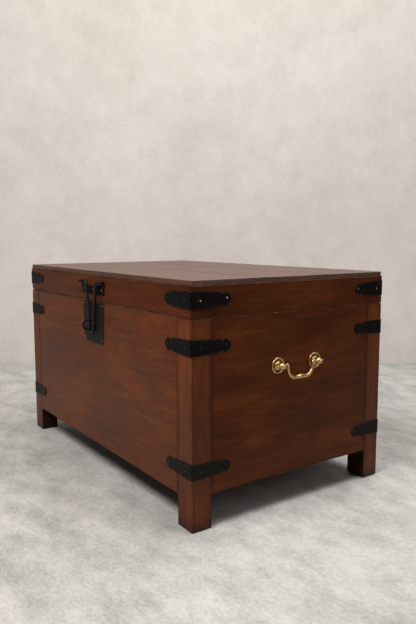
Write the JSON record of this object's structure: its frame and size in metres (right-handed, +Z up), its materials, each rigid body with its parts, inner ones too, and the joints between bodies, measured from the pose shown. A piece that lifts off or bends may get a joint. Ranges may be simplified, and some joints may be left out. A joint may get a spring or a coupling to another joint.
{
  "type": "wooden chest",
  "caption": "Rectangular wooden storage chest on post feet, with a hinged lid, iron corner straps, a bar hasp with a padlock staple, and a brass bail handle at each end.",
  "frame": {"origin": "on the floor, at the centre of the rectangle that the four feet make", "axes": "+X along the chest's length to its right end, +Z up, and the front with the hasp faces -Y"},
  "size_m": [0.8272, 0.5268, 0.45],
  "materials": {
    "stained_wood": "satin reddish brown stain",
    "lid_top_wood": "satin reddish brown stain, streaky grain",
    "inner_wood": "unpolished",
    "black_iron": "black, hammered, satin",
    "nail_iron": "black, worn at the heads",
    "antique_brass": "aged, softly polished",
    "plain_steel": "plain"
  },
  "bodies": {
    "chest_body": {"back_bottom_board": "inner_wood", "back_cleat": "inner_wood", "back_left_handle_post": "antique_brass", "back_left_lower_strap": "black_iron", "back_left_post": "stained_wood", "back_left_rosette": "antique_brass", "back_left_upper_strap": "black_iron", "back_panel": "stained_wood", "back_right_handle_post": "antique_brass", "back_right_lower_strap": "black_iron", "back_right_post": "stained_wood", "back_right_rosette": "antique_brass", "back_right_upper_strap": "black_iron", "body_nails": "nail_iron", "front_bottom_board": "inner_wood", "front_cleat": "inner_wood", "front_left_handle_post": "antique_brass", "front_left_lower_strap": "black_iron", "front_left_post": "stained_wood", "front_left_rosette": "antique_brass", "front_left_upper_strap": "black_iron", "front_panel": "stained_wood", "front_right_handle_post": "antique_brass", "front_right_lower_strap": "black_iron", "front_right_post": "stained_wood", "front_right_rosette": "antique_brass", "front_right_upper_strap": "black_iron", "handle_nuts": "plain_steel", "handle_washers": "plain_steel", "left_end_cleat": "inner_wood", "left_end_panel": "stained_wood", "left_hinge_body_leaf": "black_iron", "left_hinge_pin": "black_iron", "middle_bottom_board": "inner_wood", "right_end_cleat": "inner_wood", "right_end_panel": "stained_wood", "right_hinge_body_leaf": "black_iron", "right_hinge_pin": "black_iron", "staple": "black_iron", "staple_plate": "black_iron"},
    "lid": {"back_left_lid_strap": "black_iron", "back_lid_board": "lid_top_wood", "back_lid_rail": "stained_wood", "back_right_lid_strap": "black_iron", "front_left_lid_strap": "black_iron", "front_lid_board": "lid_top_wood", "front_lid_rail": "stained_wood", "front_right_lid_strap": "black_iron", "hasp_plate": "black_iron", "left_hinge_lid_leaf": "black_iron", "left_lid_rail": "stained_wood", "lid_nails": "nail_iron", "middle_lid_board": "lid_top_wood", "right_hinge_lid_leaf": "black_iron", "right_lid_rail": "stained_wood"},
    "hasp": {"hasp": "black_iron"},
    "right_bail": {"right_bail": "antique_brass"},
    "left_bail": {"left_bail": "antique_brass"}
  },
  "joints": [
    {"name": "lid_hinge", "type": "hinge", "parent": "chest_body", "child": "lid", "pos_m": [0, 0.2492, 0.38325], "axis": [-1, 0, 0], "range_deg": [0, 100]},
    {"name": "hasp_hinge", "type": "hinge", "parent": "lid", "child": "hasp", "pos_m": [0, -0.25, 0.4246], "axis": [-1, 0, 0], "range_deg": [0, 184]},
    {"name": "right_bail_swing", "type": "hinge", "parent": "chest_body", "child": "right_bail", "pos_m": [0.404, 0, 0.281], "axis": [0, -1, 0], "range_deg": [0, 180]},
    {"name": "left_bail_swing", "type": "hinge", "parent": "chest_body", "child": "left_bail", "pos_m": [-0.404, 0, 0.281], "axis": [0, 1, 0], "range_deg": [0, 180]}
  ]
}
